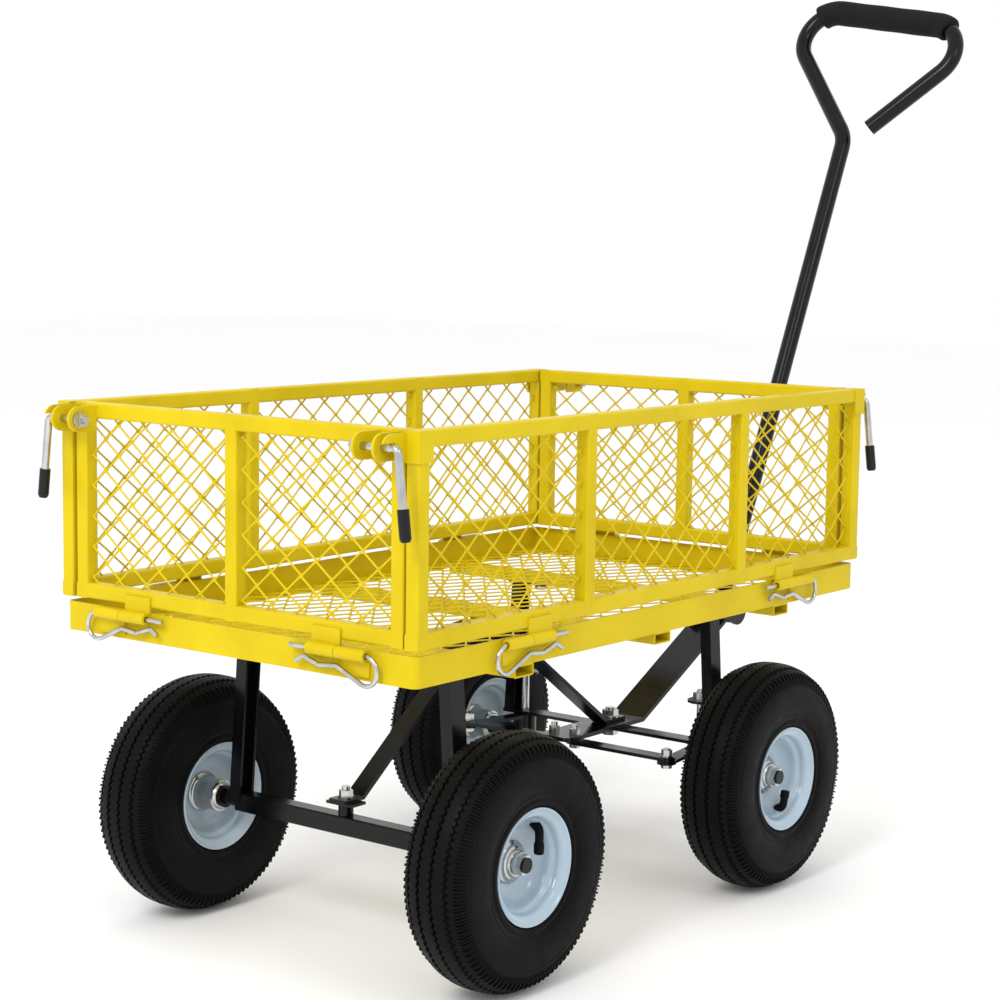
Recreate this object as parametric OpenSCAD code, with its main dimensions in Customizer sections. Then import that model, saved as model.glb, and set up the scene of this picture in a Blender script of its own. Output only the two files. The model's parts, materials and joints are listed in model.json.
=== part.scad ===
// Garden cart: steel mesh bed with four folding panels, pneumatic wheels and
// a handle that steers the front wheels. +X is forward, +Y is left, the ground is z = 0.

/* [Bed] */
// Length of the tray
bed_len = 808; // [760:1:860]
// Width of the tray
bed_wid = 476; // [460:1:500]
// Height of the tray's top edge above the ground
bed_top = 362; // [350:1:380]
// Depth of the tray's wall
bed_depth = 30; // [24:1:40]
// Thickness of the tray's sheet
bed_sheet = 2.5; // [2:0.5:4]
// Width of the flange that carries the floor mesh
bed_flange = 25; // [15:1:40]
// Height of the cross tubes under the tray
cross_h = 12; // [10:1:20]
// Width of the cross tubes
cross_w = 30; // [20:1:40]
// Distance from the bed's middle to the front and rear cross tubes
cross_x = 240; // [200:1:260]

/* [Panels] */
// Length of the side panels
side_len = 812; // [764:1:864]
// Distance from the middle to a side panel's outer face
side_face = 241.7; // [233:0.1:254]
// Distance from the middle to an end gate's outer face
gate_face = 404; // [380:1:430]
// Width of the end gates
gate_wid = 444; // [428:1:468]
// Height of the panels' lower edge above the ground
panel_z = 367.5; // [355.5:0.5:385.5]
// Height of the panels
panel_h = 202.8; // [160:0.1:240]
// Outside size of the square frame tubes
tube = 16; // [14:1:20]
// Wall thickness of the frame tubes
tube_wall = 1.5; // [1:0.1:2]
// Distance from a side panel's middle to its inner posts
side_post_x = 143; // [120:1:160]
// Forward shift of the posts, hinges and axles from the bed's middle
gear_shift = 6; // [0:0.5:10]
// Length of one diamond of the mesh
mesh_long = 39; // [30:1:50]
// Height of one diamond of the mesh
mesh_short = 32; // [20:1:40]
// Width of a mesh strand
strand = 2.6; // [2:0.1:4]
// Thickness of the mesh
mesh_t = 2; // [1.5:0.1:3]

/* [Hinges and clips] */
// Height of the panel hinge pins above the ground
pin_z = 357; // [345:1:370]
// Outer radius of a hinge sleeve
sleeve_r = 6; // [5:0.5:8]
// Bore radius of a hinge sleeve
sleeve_bore = 3.2; // [2.8:0.1:4]
// Length of a hinge sleeve
sleeve_len = 36; // [25:1:40]
// Distance from the middle of a side to where its sleeves meet
side_hinge_x = 247.5; // [200:0.5:260]
// Distance from the middle of a gate to where its sleeves meet
gate_hinge_y = 147; // [120:1:160]
// Wire radius of a hinge clip
wire_r = 2.4; // [2:0.1:3]
// Length of the straight leg of a hinge clip
clip_leg = 96; // [90:1:110]
// Radius of the bow of a hinge clip
clip_bow = 14; // [12:1:18]

/* [Corner latches] */
// Height of a latch rod above the ground
rod_z = 555; // [545:1:560]
// Radius of a latch rod
rod_r = 4; // [3:0.5:5]
// Distance that a latch rod stands out from its gate
rod_out = 24; // [22:1:30]
// Radius of the round end of a latch ear
ear_r = 13; // [11:0.5:14]
// Length of the hanging lever
lever_len = 76; // [60:1:90]
// Outward slant of the hanging lever, in degrees
lever_slant = 7; // [0:0.5:10]

/* [Wheels] */
// Radius of the tyre
tyre_r = 130; // [120:1:140]
// Half width of the tyre
tyre_hw = 38.5; // [34:0.5:42]
// Distance from the middle to the wheel's centre plane
wheel_y = 215; // [205:1:225]
// Half of the wheelbase
wheel_x = 239; // [220:1:250]
// Radius of the wheel axles
axle_r = 8; // [7:0.5:9]
// Radius of the rim's lip
rim_r = 59.5; // [55:0.5:65]
// Distance from the wheel's centre plane to the rim's lip
rim_s = 35; // [32:0.5:36]
// How far the hub reaches inward from the wheel's centre plane
hub_in = 36; // [34:1:38]
// How far the hub reaches outward from the wheel's centre plane
hub_out = 13; // [11:1:20]

/* [Undercarriage and steering] */
// Distance from the middle to the front kingpins
king_y = 130; // [120:1:140]
// Radius of a kingpin
king_r = 5; // [4:0.5:6]
// Distance from the steering pivot back to the tie rod bolts
arm_len = 93; // [80:1:100]
// Sideways distance from each pivot to its tie rod bolt
arm_off = 15; // [13:1:18]
// Width of the steering plate
plate_w = 46; // [40:1:60]
// Height of the handle's hinge above the ground
handle_z = 275; // [265:1:285]
// Distance from the bed's middle to the handle's hinge
handle_x = 487; // [480:1:500]

/* [Handle] */
// Forward lean of the handle, in degrees
handle_lean = 25.1; // [10:0.1:40]
// Outer radius of the handle's tube
handle_r = 10.8; // [9:0.1:12]
// Length of the straight stem above the hinge
stem_len = 654; // [600:1:700]
// Turn of the whole loop to the right, in degrees
loop_tilt = 9.6; // [0:0.1:12]
// Angle of the loop's left leg from the stem, in degrees
leg_angle = 47; // [40:1:50]
// Bend radius of the loop's corners
loop_r = 42; // [35:1:45]
// Radius of the foam grip
grip_r = 17; // [14:0.5:19]

/* [Hidden] */
$fn = 64;
eps = 0.01;
lap = 0.3;           // overlap of a straight stretch with the bend beside it
draw = 0.1;          // a bend is drawn this much thinner than its straight stretches
fit = 0.05;          // radial clearance of a running fit
gap = 0.3;           // clearance between faces that slide

YELLOW = [0.93, 0.83, 0.13];
BLACK = [0.06, 0.06, 0.07];
ZINC = [0.78, 0.79, 0.8];
RIM_BLUE = [0.72, 0.79, 0.85];

side_pin_y = side_face + 3.3;
gate_pin_x = gate_face + 7;
bed_bottom = bed_top - bed_depth;
cross_z = bed_bottom - cross_h;
floor_z = bed_bottom + bed_sheet;
panel_top = panel_z + panel_h;
rear_x = gear_shift - wheel_x;
front_x = gear_shift + wheel_x;

// A latch stands on a gate: keep is the plane of the side panel's keeper ear
ear_t = 3;
ear_in = 191;
ear_out = 215.5;
keep_in = side_face - tube;
rod_x = gate_face + rod_out;
latch_reach = rod_x + ear_r;

// Steering stack, from the ground up
arm_t = 4;
arm_z = 148;
beam_z = arm_z + arm_t + 1;
beam_t = 4;
rod_bar_z = arm_z + arm_t + gap;
plate_z = beam_z + beam_t + gap;
plate_t = 5;
foot_z = plate_z + plate_t + gap;
foot_t = 4;
plate_rise = 28.5;
plate_bend = 39;     // from the pivot to the bend
bolt_r = 4;
pivot_r = 6;
flange_z = 203;
flange_t = 3;
bar_w = 22;

// Rear axle
bar_h = 20;
post_top = 154;

// Handle loop, in its own plane: u runs up the handle, v to the left
grip_len = 156;
left_leg = 143;
right_leg = 118;
bend_r = 45;
first_a = leg_angle - loop_tilt;
corner_a = 90 + leg_angle;
end_a = 127;
foam_left = 45;      // how far the foam follows the left corner, in degrees
foam_right = 30;     // how far the foam follows the right corner, in degrees
loop_top = (bend_r + loop_r) * sin(first_a) + left_leg * cos(first_a) + loop_r;
front_reach = handle_x + (stem_len + loop_top) * sin(handle_lean) + grip_r;
// The origin is under the middle of the whole cart's box
bed_x = (latch_reach - front_reach) / 2;

WHEELS = [
    ["rear_left", rear_x, 1, -110],
    ["rear_right", rear_x, -1, -52],
    ["front_left", front_x, 1, 160],
    ["front_right", front_x, -1, 57]
];
CORNERS = [["rear_left", -1, 1], ["rear_right", -1, -1], ["front_left", 1, 1], ["front_right", 1, -1]];

// ---------- shared shapes ----------

// Square with round corners, centred
module round_square(w, h, r) {
    square([w - 2 * r, h], center = true);
    square([w, h - 2 * r], center = true);
    for (sx = [-1, 1])
        for (sy = [-1, 1])
            translate([sx * (w / 2 - r), sy * (h / 2 - r)]) circle(r);
}

// Bar along +X whose section is centred on the X axis
module bar_x(length, size, r) {
    rotate([90, 0, 90]) linear_extrude(length) round_square(size, size, r);
}

// Bar along +Z whose section is centred on the Z axis
module bar_z(length, size, r) {
    linear_extrude(length) round_square(size, size, r);
}

// Round bar that follows straight and curved stretches in the XZ plane from the
// origin along +Z. A stretch is [length] or [radius, degrees]; + turns towards +X.
module bent_bar(path, r, i = 0) {
    if (i < len(path)) {
        if (len(path[i]) == 1) {
            low = i > 0 ? lap : 0;
            high = i < len(path) - 1 ? lap : 0;
            translate([0, 0, -low]) cylinder(h = path[i][0] + low + high, r = r);
            translate([0, 0, path[i][0]]) bent_bar(path, r, i + 1);
        } else {
            bend = path[i][0];
            turn = abs(path[i][1]);
            way = sign(path[i][1]);
            mirror([way > 0 ? 1 : 0, 0, 0]) translate([-bend, 0, 0]) rotate([90, 0, 0])
                rotate_extrude(angle = turn) translate([bend, 0]) circle(r - draw);
            translate([way * bend * (1 - cos(turn)), 0, bend * sin(turn)])
                rotate([0, way * turn, 0]) bent_bar(path, r, i + 1);
        }
    }
}

// Hexagon nut or bolt head standing on z = 0
module hex(across, h) {
    cylinder(h = h, r = across / 2 / cos(30), $fn = 6);
}

// Flat sheet of diamond mesh in the XY plane, with a crossing at its middle
module diamond_mesh(length, width, long_way, short_way, t, strips = 1) {
    nx = ceil(length / long_way) + 1;
    ny = ceil(width / short_way) + 1;
    k = strand / sqrt(long_way * long_way + short_way * short_way);
    a = long_way * (0.5 - k);
    b = short_way * (0.5 - k);
    half = length / strips / 2;
    linear_extrude(t) for (s = [0:strips - 1]) let (mid = (2 * s + 1 - strips) * half) difference() {
        translate([mid, 0]) square([2 * half, width], center = true);
        for (i = [-nx:nx])
            for (j = [-ny:ny])
                if ((i + j) % 2 != 0
                    && abs(i * long_way / 2 - mid) < half + a
                    && abs(j) * short_way / 2 < width / 2 + b)
                    translate([i * long_way / 2, j * short_way / 2])
                        polygon([[a, 0], [0, b], [-a, 0], [0, -b]]);
    }
}

// Children for one corner or side, mirrored from the front left
module flip(sx, sy) {
    mirror([sx < 0 ? 1 : 0, 0, 0]) mirror([0, sy < 0 ? 1 : 0, 0]) children();
}

// ---------- bed ----------

// Sleeve of a hinge along +X from the origin, with its plate towards -Y
module sleeve(length, plate_low, plate_high, wall_y, side) {
    difference() {
        union() {
            rotate([0, 90, 0]) cylinder(h = length, r = sleeve_r);
            translate([0, wall_y, plate_low]) cube([length, bed_sheet, plate_high - plate_low]);
            if (side > 0) translate([0, wall_y, 0]) cube([length, -wall_y, sleeve_r]);
            else translate([0, wall_y, -sleeve_r]) cube([length, -wall_y, sleeve_r]);
        }
        translate([-1, 0, 0]) rotate([0, 90, 0]) cylinder(h = length + 2, r = sleeve_bore);
    }
}

// The tray's own sleeve outside the meeting point, seen from the left side
module tray_sleeve(wall) {
    translate([gap, 0, 0]) sleeve(sleeve_len, 336 - pin_z, 0, wall, -1);
}

module bed_frame() {
    color(YELLOW) translate([bed_x, 0, 0]) {
        difference() {
            translate([0, 0, bed_bottom]) linear_extrude(bed_depth) round_square(bed_len, bed_wid, 8);
            translate([0, 0, floor_z]) linear_extrude(bed_depth)
                round_square(bed_len - 2 * bed_sheet, bed_wid - 2 * bed_sheet, 3);
            translate([0, 0, bed_bottom - 1]) linear_extrude(bed_depth)
                round_square(bed_len - 2 * bed_flange, bed_wid - 2 * bed_flange, 4);
        }
        for (sy = [-1, 1]) for (sx = [-1, 1])
            translate([gear_shift + sx * side_hinge_x, 0, 0]) flip(sx, sy)
                translate([0, side_pin_y, pin_z]) tray_sleeve(bed_wid / 2 - side_pin_y);
        for (sx = [-1, 1]) for (sy = [-1, 1])
            flip(sx, sy) translate([gate_pin_x, gate_hinge_y, pin_z]) mirror([1, -1, 0])
                tray_sleeve(bed_len / 2 - gate_pin_x);
    }
}

module bed_cross_tubes() {
    color(YELLOW) translate([bed_x, 0, cross_z]) for (x = [-cross_x, 0, cross_x])
        translate([x, 0, cross_h / 2]) rotate([90, 0, 0]) difference() {
            linear_extrude(bed_wid - 1, center = true) difference() {
                round_square(cross_w, cross_h, 2);
                square([cross_w - 3, cross_h - 3], center = true);
            }
            for (y = x == 0 ? [0] : [-1, 1] * bolt_y(x))
                translate([bolt_x(x) - x, 0, y]) rotate([90, 0, 0]) cylinder(h = cross_h, r = bolt_r);
        }
}

module bed_floor_mesh() {
    color(YELLOW) translate([bed_x, 0, floor_z])
        diamond_mesh(bed_len - 2 * bed_sheet - 2, bed_wid - 2 * bed_sheet - 2, mesh_long, mesh_short, mesh_t, 5);
}

// ---------- panels ----------

// Frame in the XZ plane, its lower left outer corner at the origin, depth towards +Y
module panel_bars(length, posts, inset, r) {
    size = tube - 2 * inset;
    for (z = [tube / 2, panel_h - tube / 2])
        translate([inset, tube / 2, z]) bar_x(length - 2 * inset, size, r);
    for (x = concat([tube / 2, length - tube / 2], posts))
        translate([x, tube / 2, inset]) bar_z(panel_h - 2 * inset, size, r);
}

module panel_frame(length, posts) {
    difference() {
        panel_bars(length, posts, 0, 2.5);
        panel_bars(length, posts, tube_wall, 1);
    }
}

// Mesh of every bay between the posts
module panel_mesh(length, posts) {
    starts = concat([tube], [for (p = posts) p + tube / 2]);
    stops = concat([for (p = posts) p - tube / 2], [length - tube]);
    for (i = [0:len(starts) - 1])
        translate([(starts[i] + stops[i]) / 2, tube / 2 + mesh_t / 2, panel_h / 2]) rotate([90, 0, 0])
            diamond_mesh(stops[i] - starts[i], panel_h - 2 * tube, mesh_long, mesh_short, mesh_t);
}

// Strap round the end of a side panel's top corner, with the ear that hooks over the rod
module keeper() {
    strap_t = 2;
    end_x = side_len / 2;
    low = panel_top - 30;
    difference() {
        union() {
            translate([end_x - 18, side_face, low]) cube([18 + strap_t, strap_t, 30]);
            translate([end_x, keep_in, low]) cube([strap_t, side_face - keep_in + eps, 30]);
            translate([end_x, keep_in + strap_t, rod_z]) rotate([90, 0, 0]) linear_extrude(strap_t) {
                translate([0, -ear_r]) square([rod_x - end_x, 2 * ear_r]);
                translate([rod_x - end_x, 0]) circle(ear_r);
            }
        }
        translate([rod_x - rod_r - 0.8, keep_in - 1, rod_z - 2 * ear_r])
            cube([3 * ear_r, strap_t + 2, 2 * ear_r + rod_r + 0.5]);
    }
}

side_posts = [for (s = [-1, 1]) side_len / 2 + gear_shift + s * side_post_x];

module side_frame(sy) {
    color(YELLOW) translate([bed_x, 0, 0]) flip(1, sy) {
        translate([-side_len / 2, side_face - tube, panel_z]) panel_frame(side_len, side_posts);
        for (sx = [-1, 1]) {
            flip(sx, 1) keeper();
            translate([gear_shift + sx * side_hinge_x, 0, 0]) flip(sx, 1)
                translate([-sleeve_len - gap, side_pin_y, pin_z]) sleeve(sleeve_len, 0, 21, side_face - side_pin_y, 1);
        }
    }
}

module side_mesh(sy) {
    color(YELLOW) translate([bed_x, 0, 0]) flip(1, sy)
        translate([-side_len / 2, side_face - tube, panel_z]) panel_mesh(side_len, side_posts);
}

// Ear on a gate, at distance y from the middle, round the latch rod
module gate_ear(y) {
    translate([gate_face, y + ear_t / 2, rod_z]) rotate([90, 0, 0]) linear_extrude(ear_t) difference() {
        union() {
            translate([0, -ear_r]) square([rod_out, 2 * ear_r]);
            translate([rod_out, 0]) circle(ear_r);
        }
        translate([rod_out, 0]) circle(rod_r + fit);
    }
}

// Turns a shape drawn along X, with its outer face towards +Y, into an end gate
module as_gate() {
    mirror([1, -1, 0]) children();
}

module gate_frame(sx) {
    color(YELLOW) translate([bed_x, 0, 0]) flip(sx, 1) {
        as_gate() translate([-gate_wid / 2, gate_face - tube, panel_z]) panel_frame(gate_wid, [gate_wid / 2]);
        for (sy = [-1, 1]) flip(1, sy) {
            gate_ear(ear_in);
            gate_ear(ear_out);
            as_gate() translate([gate_hinge_y - sleeve_len - gap, gate_pin_x, pin_z])
                sleeve(sleeve_len, 0, 21, gate_face - gate_pin_x, 1);
        }
    }
}

module gate_mesh(sx) {
    color(YELLOW) translate([bed_x, 0, 0]) flip(sx, 1) as_gate()
        translate([-gate_wid / 2, gate_face - tube, panel_z]) panel_mesh(gate_wid, [gate_wid / 2]);
}

// ---------- latches and clips ----------

rod_start = ear_in - ear_t / 2 - 11;
lever_bend = 6;
bend_start = keep_in + 3.8;

module latch_place(sx, sy) {
    translate([bed_x, 0, 0]) flip(sx, sy) translate([rod_x, 0, rod_z]) children();
}

// Path of the rod: along +Y, then down the lever, which slants outward
module latch_path(r) {
    translate([0, rod_start, 0]) rotate([-90, 90, 0])
        bent_bar([[bend_start - rod_start], [lever_bend, 90 - lever_slant], [lever_len]], r);
}

module latch_rod(sx, sy) {
    color(ZINC) latch_place(sx, sy) {
        latch_path(rod_r);
        translate([0, ear_in - ear_t / 2 - gap, 0]) rotate([90, 0, 0]) {
            cylinder(h = 1.5, r = 8.5);
            hex(13, 8);
        }
    }
}

// Vinyl sleeve on the last stretch of the lever
module latch_grip(sx, sy) {
    grip = 30;
    color(BLACK) latch_place(sx, sy)
        translate([0, rod_start, 0]) rotate([-90, 90, 0])
            translate([lever_bend * (1 - sin(lever_slant)), 0, bend_start - rod_start + lever_bend * cos(lever_slant)])
                rotate([0, 90 - lever_slant, 0]) translate([0, 0, lever_len - grip + 3]) difference() {
                    union() {
                        cylinder(h = grip - 3, r = 5.6);
                        translate([0, 0, grip - 3]) cylinder(h = 3, r1 = 5.6, r2 = 4.2);
                    }
                    translate([0, 0, -1]) cylinder(h = grip - 3 + 1, r = rod_r);
                }
}

// Hinge clip: straight leg in the sleeves, round bow, waved leg below.
// The bow is at the origin and the straight leg runs towards -X.
module clip() {
    translate([-clip_bow - clip_leg, 0, 0]) rotate([0, 90, 0])
        bent_bar([[clip_leg], [clip_bow, 204], [32], [8, -30], [18], [8, 24], [17], [5, -48], [9]], wire_r);
}

clip_out = sleeve_len + clip_bow;

module side_clip(sx, sy) {
    color(ZINC) translate([bed_x + gear_shift + sx * side_hinge_x, 0, 0]) flip(sx, sy)
        translate([clip_out, side_pin_y, pin_z]) clip();
}

module gate_clip(sx, sy) {
    color(ZINC) translate([bed_x, 0, 0]) flip(sx, sy)
        translate([gate_pin_x, gate_hinge_y, pin_z]) mirror([1, -1, 0]) translate([clip_out, 0, 0]) clip();
}

// ---------- wheels ----------

// Closed outline with half axes a and b; a larger n is more square
function super(a, b, n, steps = 72) = [
    for (i = [0:steps - 1]) let (t = i * 360 / steps, c = cos(t), s = sin(t))
        [a * sign(c) * pow(abs(c), 2 / n), b * sign(s) * pow(abs(s), 2 / n)]
];

// Outline whose other half mirrors the points given, about the line y = 0
function both_sides(half) = concat(half, [for (i = [len(half) - 1:-1:0]) if (half[i][1] > 0) [half[i][0], -half[i][1]]]);

bead_r = 51.5;
section_r = (tyre_r + bead_r) / 2;
section_a = (tyre_r - bead_r) / 2;
cavity_a = section_a - 8;
cavity_b = tyre_hw - 7;

// Places a wheel's axis, drawn along +Z towards the outside, at its hub
module wheel_place(w) {
    translate([bed_x + w[1], w[2] * wheel_y, tyre_r]) rotate([-90 * w[2], 0, 0]) children();
}

module tyre(w) {
    color(BLACK) wheel_place(w) rotate_extrude() {
        difference() {
            translate([section_r, 0]) polygon(super(section_a, tyre_hw, 2.6));
            translate([section_r + 1, 0]) polygon(super(cavity_a, cavity_b, 2.4));
            translate([bead_r - 5, -20]) square([20, 40]);
        }
        for (s = [-28.5, 20.5]) translate([50.8, s]) square([12, 8]);
    }
}

valve_r = 4;
valve_s = 13;

module inner_tube(w) {
    color(BLACK) wheel_place(w) rotate([0, 0, w[2] * w[3]]) {
        rotate_extrude() translate([section_r + 1, 0]) difference() {
            polygon(super(cavity_a - gap, cavity_b - gap, 2.4));
            polygon(super(cavity_a - 2.3, cavity_b - 2.3, 2.4));
        }
        translate([section_r - cavity_a + 2.2, 0, valve_s]) rotate([0, -90, 0]) cylinder(h = 38, r = valve_r);
    }
}

module rim(w) {
    sheet = 2.2;
    color(RIM_BLUE) wheel_place(w) difference() {
        rotate_extrude() polygon(concat(
            [[13.8, hub_out], [18, hub_out]],
            both_sides([
                [18, sheet], [43, sheet], [50.8 - sheet, 18.5], [50.8 - sheet, 31], [rim_r - sheet, 34],
                [rim_r - sheet, rim_s], [rim_r, rim_s], [rim_r, 32.5], [50.8, 29], [50.8, 17], [44, 0]
            ]),
            [[18, -hub_in], [13.8, -hub_in]]
        ));
        rotate([0, 0, w[2] * w[3]]) translate([60, 0, valve_s]) rotate([0, -90, 0])
            cylinder(h = 40, r = valve_r + gap);
    }
}

module bearings(w) {
    color(ZINC) wheel_place(w) for (s = [-hub_in, hub_out - 9]) translate([0, 0, s])
        difference() {
            cylinder(h = 9, r = 13.8);
            translate([0, 0, -1]) cylinder(h = 11, r = axle_r + fit);
        }
}

// Washer and nut at the outer end of an axle, drawn along +Z from the wheel's middle
module wheel_nut() {
    difference() {
        translate([0, 0, hub_out + gap]) {
            cylinder(h = 2.5, r = 11.5);
            translate([0, 0, 2.5]) hex(19, 7);
        }
        cylinder(h = 2 * hub_in, r = axle_r);
    }
}

// Round axle end from y1 out through the hub, with the collar that the hub runs against
module axle_end(y1) {
    rotate([-90, 0, 0]) {
        translate([0, 0, y1]) cylinder(h = wheel_y + hub_out + 12 - y1, r = axle_r);
        translate([0, 0, wheel_y - hub_in - gap - 4]) cylinder(h = 4, r = 12);
    }
}

// ---------- axles and braces ----------

// Channel leg that leans outward towards the ground, open to the inside
module leg(x, top_y, low_y, low_z, deep, wide) {
    rise = cross_z - low_z;
    lean = atan2(low_y - top_y, rise);
    intersection() {
        translate([x, top_y, cross_z]) rotate([lean, 0, 0]) translate([0, 0, -rise - 20])
            linear_extrude(rise + 40) difference() {
                square([wide, deep], center = true);
                translate([0, -3]) square([wide - 6, deep], center = true);
            }
        translate([x - wide, 0, low_z]) cube([2 * wide, 300, rise]);
    }
}

// Foot plate that bolts a leg to its cross tube
module leg_foot(x, y) {
    difference() {
        translate([x - 13, y - 45, cross_z - 3]) cube([26, 55, 3]);
        translate([x, y - 30, cross_z - 4]) cylinder(h = 5, r = bolt_r);
    }
}

rear_leg_top = 139;
rear_leg_low = 153;
front_leg_top = 138;
front_leg_low = 148;
// Where the bolts of the cross tube on the given side stand
function bolt_x(x) = x < 0 ? rear_x : x > 0 ? front_x : 0;
function bolt_y(x) = (x < 0 ? rear_leg_top : front_leg_top) - 30;

// Flat brace strut in the XZ plane from the low foot to the middle cross tube
module brace(from_x, from_z, way, top_z, foot_len) {
    t = foot_t;
    // x runs from the middle of the bed outward to the foot
    flip(way, 1) rotate([90, 0, 0]) linear_extrude(bar_w, center = true) polygon([
        [-10, top_z], [14, top_z], [abs(from_x), from_z + t], [abs(from_x) + foot_len, from_z + t],
        [abs(from_x) + foot_len, from_z], [abs(from_x) - 3, from_z], [11, top_z - t], [-10, top_z - t]
    ]);
}

module rear_axle() {
    color(BLACK) translate([bed_x, 0, 0]) {
        difference() {
            union() {
                translate([rear_x, 0, tyre_r]) rotate([90, 0, 0])
                    linear_extrude(2 * rear_leg_low, center = true) round_square(bar_h, bar_h, 2);
                translate([rear_x, 0, tyre_r + bar_h / 2 - 1]) cylinder(h = post_top - tyre_r - bar_h / 2, r = 8);
                translate([rear_x - 11, -18, post_top - 2]) cube([22, 36, 3]);
            }
            translate([rear_x, 0, tyre_r + bar_h / 2]) cylinder(h = 40, r = bolt_r);
        }
        for (sy = [-1, 1]) flip(1, sy) {
            leg(rear_x, rear_leg_top, rear_leg_low, tyre_r, 15, 22);
            leg_foot(rear_x, rear_leg_top);
            translate([rear_x, 0, tyre_r]) axle_end(rear_leg_low - 4);
        }
    }
}

module rear_brace() {
    color(BLACK) translate([bed_x, 0, 0]) difference() {
        brace(rear_x + 14, post_top + 1, -1, cross_z, 28);
        translate([rear_x, 0, post_top]) cylinder(h = 20, r = bolt_r);
        translate([0, 0, cross_z - 10]) cylinder(h = 20, r = bolt_r);
    }
}

module front_axle() {
    color(BLACK) translate([bed_x, 0, 0]) difference() {
        union() {
            translate([front_x - bar_w / 2, -king_y - 26, beam_z]) cube([bar_w, 2 * king_y + 52, beam_t]);
            for (sy = [-1, 1]) flip(1, sy) {
                leg(front_x, front_leg_top, front_leg_low, beam_z + beam_t - eps, 14, 20);
                leg_foot(front_x, front_leg_top);
                translate([front_x, king_y, flange_z]) cylinder(h = flange_t, r = 16);
            }
        }
        translate([front_x, 0, beam_z - 1]) cylinder(h = beam_t + 2, r = pivot_r);
        for (sy = [-1, 1]) translate([front_x, sy * king_y, beam_z - 1]) cylinder(h = 80, r = king_r);
    }
}

module front_brace() {
    color(BLACK) translate([bed_x, 0, 0]) difference() {
        brace(front_x - 18, foot_z, 1, cross_z - foot_t, 34);
        translate([front_x, 0, foot_z - 1]) cylinder(h = 20, r = pivot_r);
        translate([0, 0, cross_z - 10]) cylinder(h = 20, r = bolt_r);
    }
}

// Bolt from below: head under z, shank up to the given length
module bolt_up(z, length, across, r) {
    head = across * 0.45;
    translate([0, 0, z - head]) hex(across, head + eps);
    translate([0, 0, z]) cylinder(h = length, r = r);
}

module chassis_bolts() {
    color(ZINC) translate([bed_x, 0, 0]) {
        for (sy = [-1, 1]) {
            translate([rear_x, sy * bolt_y(-1), 0]) bolt_up(cross_z - 3, 12, 13, bolt_r);
            translate([front_x, sy * bolt_y(1), 0]) bolt_up(cross_z - 3, 12, 13, bolt_r);
        }
        bolt_up(cross_z - 2 * foot_t, 17, 13, bolt_r);
        translate([rear_x, 0, post_top + 1 + foot_t]) {
            translate([0, 0, -18]) cylinder(h = 30, r = bolt_r);
            cylinder(h = 1.5, r = 8.5);
            hex(13, 8);
        }
    }
}

// Steering pivot bolt and the two kingpins
module steering_pins() {
    color(ZINC) translate([bed_x + front_x, 0, 0]) {
        bolt_up(beam_z, foot_z + foot_t - beam_z + 12, 17, pivot_r);
        translate([0, 0, foot_z + foot_t]) {
            cylinder(h = 2, r = 10.5);
            hex(17, 9);
        }
        for (sy = [-1, 1]) translate([0, sy * king_y, 0]) {
            bolt_up(knuckle_low - gap, flange_z + flange_t + 12 - knuckle_low, 17, king_r);
            translate([0, 0, flange_z + flange_t]) hex(17, 8);
        }
    }
}

module rear_wheel_nuts() {
    color(ZINC) for (i = [0, 1]) wheel_place(WHEELS[i]) wheel_nut();
}

// ---------- steering ----------

knuckle_low = 113;

// Point of the tie rod bolt, seen from the kingpin on the left side
module arm_end() {
    translate([-arm_len, arm_off, 0]) children();
}

module knuckle(sy) {
    color(BLACK) translate([bed_x + front_x, 0, 0]) flip(1, sy) difference() {
        union() {
            translate([0, king_y, knuckle_low]) cylinder(h = beam_z - gap - knuckle_low, r = 14);
            translate([0, 0, tyre_r]) axle_end(king_y + 8);
            translate([0, king_y, arm_z]) linear_extrude(arm_t) {
                arm_end() circle(r = 11);
                rotate(180 - atan2(arm_off, arm_len)) translate([0, -9]) square([norm([arm_len, arm_off]), 18]);
            }
        }
        translate([0, king_y, knuckle_low - 1]) cylinder(h = 50, r = king_r + fit);
        translate([0, king_y, arm_z - 1]) arm_end() cylinder(h = arm_t + 2, r = bolt_r);
    }
}

module knuckle_fasteners(sy) {
    color(ZINC) {
        wheel_place(WHEELS[sy > 0 ? 2 : 3]) wheel_nut();
        translate([bed_x + front_x, 0, 0]) flip(1, sy) translate([0, king_y, 0]) arm_end() {
            bolt_up(arm_z, 18, 11, bolt_r);
            translate([0, 0, rod_bar_z + arm_t + gap]) {
                cylinder(h = 1.5, r = 7.5);
                hex(11, 8);
            }
        }
    }
}

module tie_rod(sy) {
    color(BLACK) translate([bed_x + front_x - arm_len, 0, rod_bar_z]) flip(1, sy) difference() {
        union() {
            translate([-10, arm_off, 0]) cube([20, king_y, arm_t]);
            for (y = [arm_off, king_y + arm_off]) translate([0, y, 0]) cylinder(h = arm_t, r = 10);
        }
        for (y = [arm_off, king_y + arm_off])
            translate([0, y, -1]) cylinder(h = arm_t + 2, r = bolt_r + fit);
    }
}

pin_r = 5;
fork_in = handle_r + 0.6;
plate_run = handle_x - 21 - front_x - plate_bend;

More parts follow.
